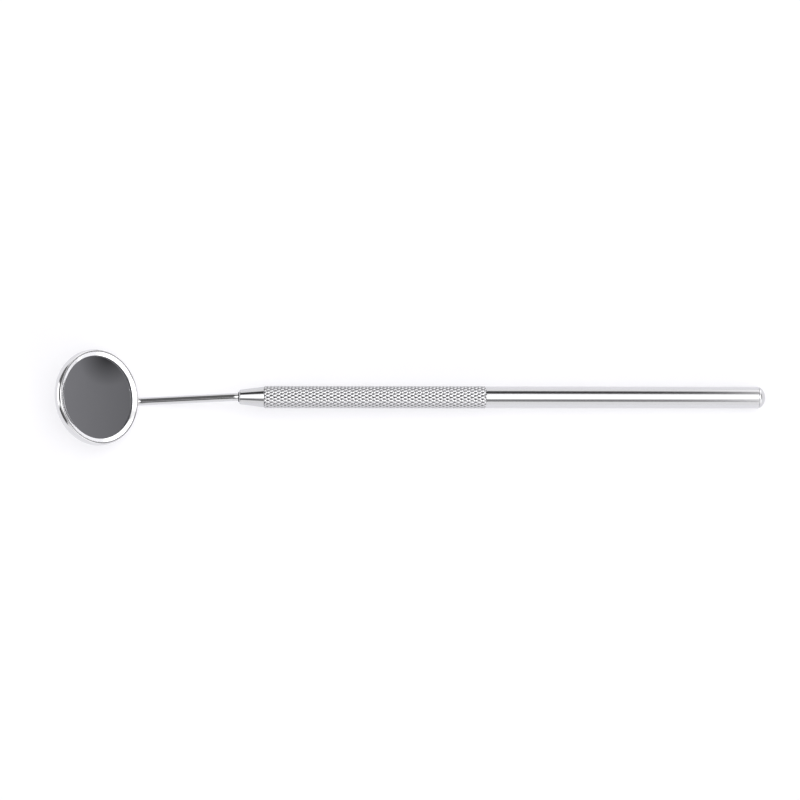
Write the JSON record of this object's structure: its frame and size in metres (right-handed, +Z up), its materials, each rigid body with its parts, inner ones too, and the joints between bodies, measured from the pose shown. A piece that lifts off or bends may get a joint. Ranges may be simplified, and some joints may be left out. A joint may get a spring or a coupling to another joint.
{
  "type": "mouth mirror",
  "caption": "Round glass mirror in a bevelled steel rim, tilted on a bent wire stem that screws into a slim handle with a knurled grip and a plain polished rear.",
  "frame": {"origin": "on the table under the middle of the whole mirror's box, as it lies face up", "axes": "+X from the mirror head to the rear end of the handle, +Z up; the XZ plane is the plane of symmetry"},
  "size_m": [0.1612, 0.022, 0.016],
  "materials": {
    "handle_steel": "bright turned, knurled at the grip",
    "nose_steel": "polished",
    "thread_steel": "as cut",
    "stem_steel": "polished wire",
    "braze_metal": "smooth, slightly dull",
    "rim_steel": "polished",
    "clear_glass": "polished clear",
    "silvering": "mirror",
    "grey_paint": "matte",
    "white_cement": "matte",
    "dark_sealant": "satin"
  },
  "bodies": {
    "handle": {"handle_tube": "handle_steel", "nose_bush": "nose_steel", "end_plug": "nose_steel"},
    "screw": {"threaded_stub": "thread_steel"},
    "head": {"stem": "stem_steel", "braze_fillet": "braze_metal", "mirror_cup": "rim_steel", "retaining_ring": "rim_steel", "mirror_glass": "clear_glass", "silver_layer": "silvering", "backing_paint": "grey_paint", "cement_bed": "white_cement", "edge_seal": "dark_sealant"}
  },
  "joints": [
    {"name": "screw_travel", "type": "slide", "parent": "handle", "child": "screw", "axis": [-0.9991, 0, 0.0418], "range_m": [0, 0.00428]},
    {"name": "head_turn", "type": "hinge", "parent": "screw", "child": "head", "pos_m": [-0.03931, 0, 0.00784], "axis": [-0.9991, 0, 0.0418], "range_deg": [0, 3421]}
  ],
  "couplings": [
    {"joint": "head_turn", "follows": "screw_travel", "rad_per_m": 13963}
  ]
}
